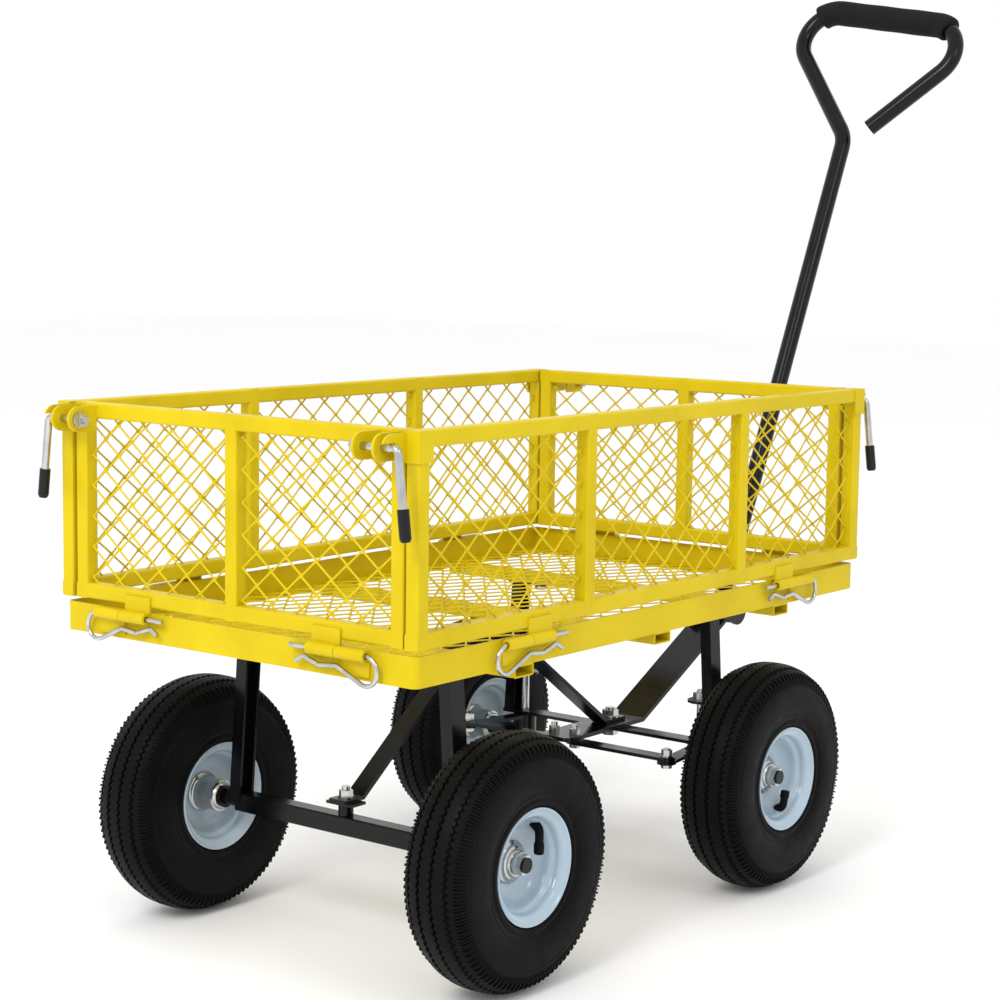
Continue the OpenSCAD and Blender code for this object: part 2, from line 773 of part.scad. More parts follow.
module steering_plate() {
    color(BLACK) translate([bed_x, 0, 0]) difference() {
        union() {
            translate([front_x - arm_len - 14, 0, plate_z]) linear_extrude(plate_t) {
                translate([9, 0]) round_square(18 + 2 * 9, plate_w, 9);
                translate([9, -plate_w / 2]) square([arm_len + 5 + plate_bend, plate_w]);
            }
            translate([front_x + plate_bend, 0, plate_z]) rotate([90, 0, 0])
                linear_extrude(plate_w, center = true) polygon([
                    [-1, 0], [0, 0], [plate_run, plate_run * tan(plate_rise)],
                    [plate_run - plate_t * sin(plate_rise), plate_run * tan(plate_rise) + plate_t * cos(plate_rise)],
                    [-plate_t * tan(plate_rise / 2), plate_t], [-1.5, plate_t]
                ]);
            for (sy = [-1, 1]) flip(1, sy)
                translate([handle_x, fork_in, handle_z]) rotate([90, 0, 0]) mirror([0, 0, 1]) linear_extrude(4) {
                    translate([20, -9]) circle(19);
                    polygon([[20, 10], [-5, 13], [-46, -12], [-46, -32.5], [-21, -19], [8, -24], [20, -28]]);
                }
        }
        translate([front_x, 0, plate_z - 1]) cylinder(h = plate_t + 2, r = pivot_r + fit);
        for (sy = [-1, 1])
            translate([front_x - arm_len, sy * arm_off, plate_z - 1]) cylinder(h = plate_t + 2, r = bolt_r);
        translate([handle_x, 0, handle_z]) rotate([90, 0, 0]) cylinder(h = 60, r = pin_r, center = true);
    }
}

module steering_plate_bolts() {
    color(ZINC) translate([bed_x, 0, 0]) {
        for (sy = [-1, 1]) translate([front_x - arm_len, sy * arm_off, 0]) {
            bolt_up(rod_bar_z - gap, plate_z + plate_t - rod_bar_z + 12, 11, bolt_r);
            translate([0, 0, plate_z + plate_t]) hex(11, 7);
        }
        translate([handle_x, fork_in + 4, handle_z]) rotate([90, 0, 0]) {
            translate([0, 0, -5]) hex(17, 5);
            cylinder(h = 2 * (fork_in + 4) + 11, r = pin_r);
            translate([0, 0, 2 * (fork_in + 4)]) hex(17, 8);
        }
    }
}

// ---------- handle ----------

// Handle frame: +Z up the stem, +X to the left of the cart
module handle_place() {
    translate([bed_x + handle_x, 0, handle_z]) rotate([0, handle_lean, 0]) rotate([0, 0, 90]) children();
}

// The tube's centre line; beyond lengthens both of its ends
function handle_path(beyond) = [
    [stem_len + 15 + beyond], [bend_r, first_a], [left_leg],
    [loop_r, -corner_a], [grip_len], [loop_r, -end_a], [right_leg + beyond]
];

module handle_tube() {
    color(BLACK) handle_place() difference() {
        translate([0, 0, -15]) bent_bar(handle_path(0), handle_r);
        translate([0, 0, -16]) bent_bar(handle_path(1), handle_r - 1.6);
        rotate([0, 90, 0]) cylinder(h = 60, r = pin_r + fit, center = true);
    }
}

// Foam over the top of the loop, following both corners for a little way
module handle_grip() {
    foam = [[loop_r, -foam_left], [grip_len], [loop_r, -foam_right]];
    before = corner_a - foam_left;
    color(BLACK) handle_place() translate([0, 0, stem_len])
        translate([bend_r * (1 - cos(first_a)), 0, bend_r * sin(first_a)]) rotate([0, first_a, 0])
            translate([-loop_r * (1 - cos(before)), 0, left_leg + loop_r * sin(before)])
                rotate([0, -before, 0]) difference() {
                    bent_bar(foam, grip_r);
                    bent_bar(foam, handle_r);
                }
}

bed_frame();
bed_floor_mesh();
bed_cross_tubes();
rear_axle();
rear_brace();
front_axle();
front_brace();
chassis_bolts();
steering_pins();
rear_wheel_nuts();
side_frame(1);  // side_left_frame
side_mesh(1);  // side_left_mesh
side_frame(-1);  // side_right_frame
side_mesh(-1);  // side_right_mesh
gate_frame(-1);  // gate_rear_frame
gate_mesh(-1);  // gate_rear_mesh
gate_frame(1);  // gate_front_frame
gate_mesh(1);  // gate_front_mesh
for (c = CORNERS) {
    latch_rod(c[1], c[2]);
    latch_grip(c[1], c[2]);
}
for (c = [["left_rear", -1, 1], ["left_front", 1, 1], ["right_rear", -1, -1], ["right_front", 1, -1]])
    side_clip(c[1], c[2]);
for (c = CORNERS)
    gate_clip(c[1], c[2]);
for (w = WHEELS) {
    tyre(w);
    inner_tube(w);
    rim(w);
    bearings(w);
}
knuckle(1);  // knuckle_left
knuckle(-1);  // knuckle_right
knuckle_fasteners(1);  // knuckle_left_fasteners
knuckle_fasteners(-1);  // knuckle_right_fasteners
steering_plate();
steering_plate_bolts();
tie_rod(1);  // tie_rod_left
tie_rod(-1);  // tie_rod_right
handle_tube();
handle_grip();
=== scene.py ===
import json
import math

import bpy
from mathutils import Matrix, Vector


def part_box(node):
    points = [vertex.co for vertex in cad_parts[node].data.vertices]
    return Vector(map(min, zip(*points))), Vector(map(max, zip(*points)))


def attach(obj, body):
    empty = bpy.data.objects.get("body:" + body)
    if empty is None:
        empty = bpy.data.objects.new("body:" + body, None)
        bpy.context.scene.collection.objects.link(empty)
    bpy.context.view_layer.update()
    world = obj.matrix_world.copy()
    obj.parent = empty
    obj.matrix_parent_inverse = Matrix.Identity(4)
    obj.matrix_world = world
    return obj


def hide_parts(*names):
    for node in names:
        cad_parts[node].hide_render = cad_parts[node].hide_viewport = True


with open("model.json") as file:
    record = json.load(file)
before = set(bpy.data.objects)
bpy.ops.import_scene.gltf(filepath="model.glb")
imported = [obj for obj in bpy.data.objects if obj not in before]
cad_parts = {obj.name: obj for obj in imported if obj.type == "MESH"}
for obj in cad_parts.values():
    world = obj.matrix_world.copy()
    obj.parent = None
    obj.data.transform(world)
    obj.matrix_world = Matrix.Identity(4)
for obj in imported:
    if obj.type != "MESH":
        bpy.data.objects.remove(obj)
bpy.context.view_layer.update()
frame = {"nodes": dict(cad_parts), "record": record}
NODES = frame["nodes"]
RECORD = frame["record"]
JOINTS = {j["name"]: j for j in RECORD["behaviour"]["joints"]}
MM = 0.001
TAU = 2 * math.pi
GEAR_SHIFT = 0.006  # the wheels' and posts' middle, ahead of the bed's
STEER_AHEAD = 0.245  # the steering pivot, ahead of the bed's middle
BED_X = JOINTS["steer"]["pos_m"][0] - STEER_AHEAD

# ---------------------------------------------------------------- materials


def new_material(name):
    """A material with nodes, its node tree and its Principled shader."""
    m = bpy.data.materials.new(name)
    m.use_nodes = True
    nt = m.node_tree
    return m, nt, nt.nodes["Principled BSDF"]


def link(nt, a, b):
    nt.links.new(a, b)


def object_coords(nt):
    return nt.nodes.new("ShaderNodeTexCoord").outputs["Object"]


def noise(nt, scale, detail, rough, coord):
    n = nt.nodes.new("ShaderNodeTexNoise")
    n.inputs["Scale"].default_value = scale
    n.inputs["Detail"].default_value = detail
    n.inputs["Roughness"].default_value = rough
    link(nt, coord, n.inputs["Vector"])
    return n


def ramp(nt, src, stops):
    """A colour ramp over src; stops are (position, colour)."""
    r = nt.nodes.new("ShaderNodeValToRGB")
    els = r.color_ramp.elements
    while len(els) < len(stops):
        els.new(0.5)
    for e, (pos, col) in zip(els, stops):
        e.position = pos
        e.color = (*col, 1)
    link(nt, src, r.inputs["Fac"])
    return r


def bump(nt, height, strength, distance, chain=None):
    b = nt.nodes.new("ShaderNodeBump")
    b.inputs["Strength"].default_value = strength
    b.inputs["Distance"].default_value = distance
    link(nt, height, b.inputs["Height"])
    if chain is not None:
        link(nt, chain, b.inputs["Normal"])
    return b.outputs["Normal"]


def grey(v):
    return (v, v, v)


def roughness(nt, p, src, low, high):
    """Uneven gloss: the roughness follows src between the two (position, value) stops."""
    r = ramp(nt, src, [(pos, grey(value)) for pos, value in (low, high)])
    link(nt, r.outputs["Color"], p.inputs["Roughness"])


def paint(name, deep, base, light, rough, coat, spec=0.5):
    """Powder coat: mottled colour, an orange-peel surface and uneven gloss."""
    m, nt, p = new_material(name)
    coord = object_coords(nt)
    cloud = noise(nt, 9.0, 5.0, 0.6, coord)
    col = ramp(nt, cloud.outputs["Fac"], [(0.3, deep), (0.52, base), (0.75, light)])
    link(nt, col.outputs["Color"], p.inputs["Base Color"])
    sheen = noise(nt, 30.0, 3.0, 0.5, coord)
    roughness(nt, p, sheen.outputs["Fac"], (0.3, rough[0]), (0.7, rough[1]))
    fine = noise(nt, 420.0, 2.0, 0.5, coord)
    link(nt, bump(nt, fine.outputs["Fac"], 0.35, 0.00012), p.inputs["Normal"])
    p.inputs["Specular IOR Level"].default_value = spec
    p.inputs["Coat Weight"].default_value = coat
    p.inputs["Coat Roughness"].default_value = 0.12
    return m


def zinc():
    """Bright zinc plate on steel."""
    m, nt, p = new_material("zinc_plate")
    coord = object_coords(nt)
    n = noise(nt, 60.0, 3.0, 0.5, coord)
    shades = [(0.3, (0.46, 0.46, 0.45)), (0.55, (0.55, 0.55, 0.54)), (0.8, (0.63, 0.63, 0.62))]
    col = ramp(nt, n.outputs["Fac"], shades)
    link(nt, col.outputs["Color"], p.inputs["Base Color"])
    roughness(nt, p, n.outputs["Fac"], (0.35, 0.16), (0.7, 0.27))
    p.inputs["Metallic"].default_value = 1.0
    fine = noise(nt, 700.0, 2.0, 0.5, coord)
    link(nt, bump(nt, fine.outputs["Fac"], 0.25, 0.0001), p.inputs["Normal"])
    return m


def rubber(name, base, dusty, rough, bumps=900.0, spec=0.07):
    """Rubber or vinyl: near black with a dusty bloom and a fine grain."""
    m, nt, p = new_material(name)
    coord = object_coords(nt)
    n = noise(nt, 14.0, 6.0, 0.65, coord)
    col = ramp(nt, n.outputs["Fac"], [(0.35, base), (0.78, dusty)])
    link(nt, col.outputs["Color"], p.inputs["Base Color"])
    sheen = noise(nt, 60.0, 4.0, 0.6, coord)
    roughness(nt, p, sheen.outputs["Fac"], (0.3, rough[0]), (0.7, rough[1]))
    grain = noise(nt, bumps, 3.0, 0.6, coord)
    link(nt, bump(nt, grain.outputs["Fac"], 0.4, 0.0002), p.inputs["Normal"])
    p.inputs["Specular IOR Level"].default_value = spec
    return m


def foam():
    """Closed-cell foam: dull black with small cells."""
    m, nt, p = new_material("foam_grip")
    coord = object_coords(nt)
    v = nt.nodes.new("ShaderNodeTexVoronoi")
    v.inputs["Scale"].default_value = 650.0
    link(nt, coord, v.inputs["Vector"])
    n = noise(nt, 40.0, 4.0, 0.6, coord)
    col = ramp(nt, n.outputs["Fac"], [(0.3, (0.005, 0.005, 0.0055)), (0.7, (0.010, 0.010, 0.0105))])
    link(nt, col.outputs["Color"], p.inputs["Base Color"])
    p.inputs["Specular IOR Level"].default_value = 0.2
    b = bump(nt, v.outputs["Distance"], 0.5, 0.0004)
    link(nt, bump(nt, n.outputs["Fac"], 0.4, 0.001, b), p.inputs["Normal"])
    roughness(nt, p, n.outputs["Fac"], (0.3, 0.78), (0.7, 0.92))
    return m


M_YELLOW = paint("yellow_powder_coat", (0.56, 0.415, 0.004), (0.63, 0.475, 0.006), (0.68, 0.52, 0.009),
                 rough=(0.28, 0.40), coat=0.02, spec=0.10)
M_BLACK = paint("black_powder_coat", (0.002, 0.002, 0.0024), (0.003, 0.003, 0.0036), (0.005, 0.005, 0.0056),
                rough=(0.16, 0.26), coat=0.05, spec=0.20)
M_RIM = paint("rim_paint", (0.33, 0.425, 0.505), (0.37, 0.47, 0.555), (0.41, 0.51, 0.60),
              rough=(0.14, 0.24), coat=0.4)
M_ZINC = zinc()
RUBBER_BLACK, RUBBER_BLOOM = (0.0025, 0.0025, 0.0029), (0.005, 0.005, 0.0054)
M_TYRE = rubber("tyre_rubber", RUBBER_BLACK, RUBBER_BLOOM, rough=(0.40, 0.56))
M_TUBE = rubber("valve_rubber", RUBBER_BLACK, RUBBER_BLOOM, rough=(0.35, 0.5))
M_VINYL = rubber("latch_vinyl", (0.005, 0.005, 0.0055), (0.010, 0.010, 0.011),
                 rough=(0.3, 0.45), bumps=500.0, spec=0.25)
M_FOAM = foam()
SLOT_MATERIAL = {
    "yellow_paint": M_YELLOW, "black_paint": M_BLACK, "zinc_steel": M_ZINC, "rim_paint": M_RIM,
    "tyre_rubber": M_TYRE, "inner_tube_rubber": M_TUBE, "latch_grip": M_VINYL, "handle_foam": M_FOAM,
}
for part in RECORD["subparts"]:
    for material_slot in NODES[part["node"]].material_slots:
        material_slot.material = SLOT_MATERIAL[part["material_slot"]]

# ---------------------------------------------------------------- mesh helpers


def make(name, verts, faces, material, body, replaces, smooth):
    """A visible piece on a body, in place of the CAD nodes named in replaces."""
    me = bpy.data.meshes.new(name)
    me.from_pydata([tuple(v) for v in verts], [], faces)
    me.validate()
    me.materials.append(material)
    o = bpy.data.objects.new(name, me)
    bpy.context.scene.collection.objects.link(o)
    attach(o, body)
    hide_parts(*replaces)
    for p in me.polygons:
        p.use_smooth = True
    me.set_sharp_from_angle(angle=math.radians(smooth))


class Builder:
    """Collects several shapes in one mesh."""

    def __init__(self):
        self.v, self.f = [], []

    def add(self, verts, faces):
        k = len(self.v)
        self.v += [Vector(v) for v in verts]
        self.f += [tuple(i + k for i in f) for f in faces]

    def ring_surface(self, rings, closed_u=True, closed_v=False):
        """Skin over rings of points, all of one length.

        closed_u joins each ring's ends, and closed_v joins the last ring to the first.
        """
        n = len(rings[0])
        verts = [p for r in rings for p in r]
        faces = []
        last = len(rings) if closed_v else len(rings) - 1
        for i in range(last):
            a, b = i * n, ((i + 1) % len(rings)) * n
            for j in range(n if closed_u else n - 1):
                k = (j + 1) % n
                faces.append((a + j, a + k, b + k, b + j))
        self.add(verts, faces)

    def tube(self, path, radii, sides, caps=True):
        """Round tube along points, with a radius at each point."""
        pts = [Vector(p) for p in path]
        rings, up = [], None
        for i, p in enumerate(pts):
            d = (pts[min(i + 1, len(pts) - 1)] - pts[max(i - 1, 0)]).normalized()
            if up is None:
                up = d.orthogonal().normalized()
            up = (up - d * up.dot(d)).normalized()
            side = d.cross(up)
            turns = [TAU * k / sides for k in range(sides)]
            rings.append([p + (up * math.cos(t) + side * math.sin(t)) * radii[i] for t in turns])
        k = len(self.v)
        self.ring_surface(rings)
        if caps:
            n = len(rings)
            self.f.append(tuple(k + j for j in reversed(range(sides))))
            self.f.append(tuple(k + (n - 1) * sides + j for j in range(sides)))

    def done(self, name, material, body, replaces, smooth):
        make(name, self.v, self.f, material, body, replaces, smooth)


# ---------------------------------------------------------------- wheels

# The tyre's section is a superellipse: r and s are the distances from the axle and from the middle plane
HALF = 38.5  # half of the tyre's width
R_MID, A_SEC = 90.75, 39.25  # middle radius of the section and half of its height
POWER = 2.6
TEETH = 104  # zigzags around the tread
GROOVES = [-22.5, -7.8, 7.8, 22.5]
GROOVE_HALF, GROOVE_DEEP = 1.7, 3.0
ZIGZAG = 1.25
SHOULDER = 29.5
STRAIGHT, ZIG, NOTCH_LOW, NOTCH_HIGH, TOOTHED = range(5)  # kinds of columns in the tread


def tread_r(s):
    return R_MID + A_SEC * max(0.0, 1 - (abs(s) / HALF) ** POWER) ** (1 / POWER)


def wheel_map(c, out):
    """Point of the wheel at radius r, angle a and offset s towards its outer face."""
    def f(r, a, s):
        return Vector((c[0] + r * MM * math.cos(a), c[1] + out * s * MM, c[2] + r * MM * math.sin(a)))
    return f


def tyre_columns():
    """The tread's columns of points from side to side, as (s, sink, kind)."""
    cols = [(-SHOULDER, 0.0, TOOTHED), (-28.2, 0.0, STRAIGHT)]
    for g in GROOVES:
        w = GROOVE_HALF
        cols += [(g - w - 1.6, 0.0, STRAIGHT), (g - w, 0.0, NOTCH_LOW), (g - w * 0.55, GROOVE_DEEP, ZIG),
                 (g + w * 0.55, GROOVE_DEEP, ZIG), (g + w, 0.0, NOTCH_HIGH), (g + w + 1.6, 0.0, STRAIGHT)]
    return cols + [(28.2, 0.0, STRAIGHT), (SHOULDER, 0.0, TOOTHED)]


def side_points():
    """Sidewall from the shoulder down to the bead, (r, s), for +s."""
    pts = []
    for t in (49, 55, 61, 67, 73, 79, 85, 91, 98, 105, 112, 119, 126, 133):
        c, s = math.cos(math.radians(t)), math.sin(math.radians(t))
        pts.append((R_MID + A_SEC * math.copysign(abs(c) ** (2 / POWER), c), HALF * s ** (2 / POWER)))
    pts = [p for p in pts if 66 < p[0] < tread_r(SHOULDER) - 1.2]
    bead = [(66.0, 35.6), (64.8, 35.9), (63.4, 35.9), (62.2, 35.2), (61.0, 33.9), (60.0, 32.6),
            (57.0, 31.0), (53.0, 29.0)]
    return pts + bead


def tyre_skin(b, f):
    """Tread with zigzag grooves and toothed shoulders, and both sidewalls."""
    cols, side = tyre_columns(), side_points()
    steps = TEETH * 4
    rings = []
    for i in range(steps):
        a = TAU * i / steps
        z = (0.0, 1.0, 0.0, -1.0)[i % 4] * ZIGZAG
        ring = [f(r, a, -s) for r, s in reversed(side)]
        for s, sink, kind in cols:
            notch = 0.0
            if kind == TOOTHED:
                notch = 2.2 if i % 4 in (1, 2) else 0.0
            elif (kind == NOTCH_LOW and z < 0) or (kind == NOTCH_HIGH and z > 0):
                notch = 1.5
            ss = s + (z if kind in (NOTCH_LOW, NOTCH_HIGH, ZIG) else 0)
            ring.append(f(tread_r(ss) - sink - notch, a, ss))
        ring += [f(r, a, s) for r, s in side]
        rings.append(ring)
    b.ring_surface(rings, closed_u=False, closed_v=True)


def shoulder_bar(b, f, sgn, a0, a1, knob):
    """Raised bar across the shoulder between two angles; a knob stands higher near the tread."""
    rise, knob_rise, knob_points = 0.9, 2.2, 4
    ss = (28.6, 30.2, 31.8, 33.4, 34.8, 36.0, 36.9)
    v, faces = [], []
    edge = 0.1 * (a1 - a0)
    for k, s in enumerate(ss):
        r = tread_r(s)
        lift = 0.0 if k in (0, len(ss) - 1) else (knob_rise if knob and k < knob_points else rise)
        slope = math.atan2(tread_r(s - 0.2) - tread_r(s + 0.2), 0.4)
        top_r, top_s = r + math.cos(slope) * lift, s + math.sin(slope) * lift
        low_r, low_s = r - 0.5, s - 0.3
        v += [f(low_r, a0, sgn * low_s), f(top_r, a0 + edge, sgn * top_s),
              f(top_r, a1 - edge, sgn * top_s), f(low_r, a1, sgn * low_s)]
    for k in range(len(ss) - 1):
        for j in range(3):
            p = k * 4 + j
            faces.append((p, p + 1, p + 5, p + 4))
    b.add(v, faces)


def sidewall_ring(b, f, sgn, r0):
    """Thin raised ring around a sidewall."""
    s0 = HALF * (1 - (abs(r0 - R_MID) / A_SEC) ** POWER) ** (1 / POWER)
    section = ((-1.2, -0.3), (-0.5, 0.35), (0.5, 0.35), (1.2, -0.3))
    steps = 144
    rings = []
    for i in range(steps):
        a = TAU * i / steps
        rings.append([f(r0 + dr, a, sgn * (s0 + ds)) for dr, ds in section])
    b.ring_surface(rings, closed_u=False, closed_v=True)


def build_tyre(name, f):
    b = Builder()
    tyre_skin(b, f)
    bars = 2 * TEETH
    for sgn in (-1, 1):
        for i in range(bars):
            shoulder_bar(b, f, sgn, TAU * (i + 0.22) / bars, TAU * (i + 0.78) / bars, i % 2)
    for sgn in (-1, 1):
        for r0 in (74.0, 103.5):
            sidewall_ring(b, f, sgn, r0)
    b.done(name + "_tread", M_TYRE, name, replaces=(name + "_tyre",), smooth=32)


def revolve(b, f, prof):
    steps = 96
    rings = [[f(r, TAU * i / steps, s) for r, s in prof] for i in range(steps)]
    b.ring_surface(rings, closed_v=True)


# Half of the rim's section, (r, s): the dish, the barrel's step, the rolled edge and the way back inside
RIM_HALF = [
    (17.5, 1.8), (22, 1.9), (27, 2.4), (32, 3.6), (36.4, 6.0), (39.8, 9.6), (42.0, 14.0), (43.2, 18.0),
    (44.4, 20.2), (46.6, 21.4), (47.8, 22.6), (48.2, 25.0), (49.0, 28.6), (51.2, 30.8), (54.0, 31.9),
    (56.0, 33.0), (57.0, 34.4), (57.9, 35.2), (58.9, 35.2), (59.5, 34.5), (59.5, 33.4), (58.6, 32.2),
    (55.0, 30.8), (51.6, 29.4), (50.4, 27.0), (50.0, 20.0), (49.6, 8.0),
]
HUB_OUT, HUB_IN = 13.0, 36.0  # how far the hub's barrel reaches towards the nut and towards the axle


def hub_section(reach):
    """Half of the hub's section, (r, s): the bearing seat, the barrel and its flange on the rim."""
    return [(8.2, reach - 0.3), (10.0, reach), (13.2, reach - 0.4), (14.2, reach - 1.6),
            (15.0, reach - 3.2), (17.2, reach - 4.2), (17.6, 7.6), (18.4, 6.0), (19.8, 5.2), (21.4, 4.8),
            (22.0, 4.2), (22.0, 2.0), (17.0, 1.2), (8.2, 1.2)]


def build_rim(name, f):
    b = Builder()
    revolve(b, f, RIM_HALF + [(r, -s) for r, s in reversed(RIM_HALF)])
    b.done(name + "_stamped_rim", M_RIM, name, replaces=(name + "_rim",), smooth=50)
    h = Builder()
    for sg, reach in ((1, HUB_OUT), (-1, HUB_IN)):
        revolve(h, f, [(r, sg * s) for r, s in hub_section(reach)])
    h.done(name + "_hub", M_ZINC, name, replaces=(name + "_bearings",), smooth=35)


# The valve's root out of the barrel, (r, s, radius), and its stem and cap, (distance, s, radius)
VALVE_ROOT = [(47.0, 12.0, 5.6), (44.6, 13.6, 5.6), (42.6, 15.8, 5.3), (41.2, 18.2, 5.0)]
VALVE_STEM = [
    (0.6, 20.2, 4.8), (2.2, 21.6, 4.7), (5.0, 22.4, 4.5), (9.0, 22.7, 4.4), (15.4, 22.8, 4.4),
    (15.7, 22.8, 5.1), (16.8, 22.8, 5.3), (25.0, 23.0, 5.2), (26.4, 23.0, 4.9), (27.2, 23.0, 3.6),
]
VALVE_R = 40.4  # where the stem leaves its elbow


def build_valve(name, f, at, way, reach):
    """Rubber stem from the barrel at the angle at, bent to run along the angle way, with its cap."""
    a, w = math.radians(at), math.radians(way)
    b = Builder()
    pts, radii = [], []
    for r, s, rad in VALVE_ROOT:
        pts.append(f(r, a, s))
        radii.append(rad * MM)
    for d, s, rad in VALVE_STEM:
        pts.append(f(VALVE_R, a, s) + Vector((math.cos(w), 0, math.sin(w))) * d * reach * MM)
        radii.append(rad * MM)
    b.tube(pts, radii, sides=20)
    b.done(name + "_valve", M_TUBE, name, replaces=(name + "_tube",), smooth=45)


# Outer side, and the valve's place, direction (degrees) and share of its full length
WHEELS = {
    "wheel_rear_left": (1, 70, 268, 1.0), "wheel_rear_right": (-1, 57, 267, 1.0),
    "wheel_front_left": (1, 240, 60, 1.0), "wheel_front_right": (-1, 288, 80, 0.75),
}
for wheel, (out, valve_at, valve_way, valve_reach) in WHEELS.items():
    place = wheel_map(JOINTS[wheel + "_spin"]["pos_m"], out)
    build_tyre(wheel, place)
    build_rim(wheel, place)
    build_valve(wheel, place, valve_at, valve_way, valve_reach)

# ---------------------------------------------------------------- expanded mesh

PITCH_L, PITCH_S = 39.0, 32.0  # the diamonds' long and short way
STRAND_W, STRAND_T = 2.05, 1.6
HEAVE = 0.55  # how far the crossings stand out of the plane
KNOT = 1.5  # a crossing's width, in strands
OCTAGON = ((-0.5, -0.25), (-0.5, 0.25), (-0.25, 0.5), (0.25, 0.5),
           (0.5, 0.25), (0.5, -0.25), (0.25, -0.5), (-0.25, -0.5))


def strand(b, at, p, q, z0, z1, w0, w1):
    """Bar from p to q with chamfered edges, z0 and z1 out of the plane and w0 and w1 wide at its ends."""
    (x0, y0), (x1, y1) = p, q
    d = Vector((x1 - x0, y1 - y0)).normalized()
    s = Vector((-d.y, d.x))
    stations = ((0.0, w0), (0.14, STRAND_W), (0.5, STRAND_W * 0.92), (0.86, STRAND_W), (1.0, w1))
    v, faces = [], []
    for k, ww in stations:
        x, y, z = x0 + (x1 - x0) * k, y0 + (y1 - y0) * k, z0 + (z1 - z0) * k
        for a, h in OCTAGON:
            v.append(at(x + s.x * ww * a, y + s.y * ww * a, z + h * STRAND_T))
    for i in range(len(stations) - 1):
        for j in range(8):
            k = (j + 1) % 8
            faces.append((i * 8 + j, i * 8 + k, (i + 1) * 8 + k, (i + 1) * 8 + j))
    faces.append(tuple(reversed(range(8))))
    faces.append(tuple(range(len(stations) * 8 - 8, len(stations) * 8)))
    b.add(v, faces)


def clip(p, q, hx, hy):
    """The shares of the line from p to q between which it lies in the rectangle, or None."""
    (x0, y0), (x1, y1) = p, q
    t0, t1 = 0.0, 1.0
    for d, lo, hi in ((x1 - x0, -hx - x0, hx - x0), (y1 - y0, -hy - y0, hy - y0)):
        a, c = sorted((lo / d, hi / d))
        t0, t1 = max(t0, a), min(t1, c)
    return (t0, t1) if t1 - t0 >= 0.03 else None


def expanded(b, mid, ux, uy, length, width):
    """Strands of expanded metal in the plane of ux and uy, clipped to the rectangle."""
    n = ux.cross(uy)
    nx, ny = int(length / PITCH_L) + 2, int(width / PITCH_S) + 2

    def at(x, y, z):
        return mid + (ux * x + uy * y + n * z) * MM

    for i in range(-nx, nx + 1):
        for j in range(-ny, ny + 1):
            if (i + j) % 2:
                continue
            p = (i * PITCH_L / 2, j * PITCH_S / 2)
            for di in (-1, 1):
                q = ((i + di) * PITCH_L / 2, (j + 1) * PITCH_S / 2)
                inside = clip(p, q, length / 2, width / 2)
                if inside is None:
                    continue
                t0, t1 = inside
                a = (p[0] + (q[0] - p[0]) * t0, p[1] + (q[1] - p[1]) * t0)
                e = (p[0] + (q[0] - p[0]) * t1, p[1] + (q[1] - p[1]) * t1)
                w0 = STRAND_W * KNOT if t0 < 0.01 else STRAND_W
                w1 = STRAND_W * KNOT if t1 > 0.99 else STRAND_W
                strand(b, at, a, e, HEAVE * (1 - 2 * t0), HEAVE * (1 - 2 * t1), w0, w1)


def mesh_piece(node, body, u_axis, v_axis, bays):
    b = Builder()
    for mid, length, width in bays:
        expanded(b, mid, u_axis, v_axis, length, width)
    b.done(node + "_expanded", M_YELLOW, body, replaces=(node,), smooth=45)


TUBE = 0.016  # width of the panels' square tube
POST_X = 0.143
SIDE_POSTS = [BED_X + GEAR_SHIFT - POST_X, BED_X + GEAR_SHIFT + POST_X]


def bay_list(node, axis, posts):
    """Bays between posts: the node's box cut at each post's middle, a little of each under its bars."""
    tuck = 1.6
    lo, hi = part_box(node)
    cuts = [lo[axis]]
    for p in posts:
        cuts += [p - TUBE / 2, p + TUBE / 2]
    cuts.append(hi[axis])
    mid = (lo + hi) / 2
    bays = []
    for a, c in zip(cuts[::2], cuts[1::2]):
        m = mid.copy()
        m[axis] = (a + c) / 2
        bays.append((m, (c - a) / MM + tuck, (hi.z - lo.z) / MM + tuck))
    return bays


X, Y, Z = Vector((1, 0, 0)), Vector((0, 1, 0)), Vector((0, 0, 1))
for side in ("left", "right"):
    mesh_piece(f"side_{side}_mesh", f"side_{side}", X, Z, bay_list(f"side_{side}_mesh", 0, SIDE_POSTS))
for end in ("rear", "front"):
    mesh_piece(f"gate_{end}_mesh", f"gate_{end}", Y, Z, bay_list(f"gate_{end}_mesh", 1, [0.0]))
lo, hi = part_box("bed_floor_mesh")
mesh_piece("bed_floor_mesh", "chassis", X, Y, [((lo + hi) / 2, (hi.x - lo.x) / MM, (hi.y - lo.y) / MM)])

# ---------------------------------------------------------------- foam grip

LEAN = 25.1  # the handle's lean, degrees from upright
STEM = 654.0  # the stem's straight length
LEG, TILT = 47.0, 9.6  # the left leg's angle before the loop tilts, and the tilt
BEND_R, LOOP_R = 45.0, 42.0
LEFT_LEG, GRIP = 143.0, 156.0  # the leg's and the grip bar's straight lengths
FOAM_L, FOAM_R = 45.0, 30.0  # how far round each bend the foam reaches, degrees


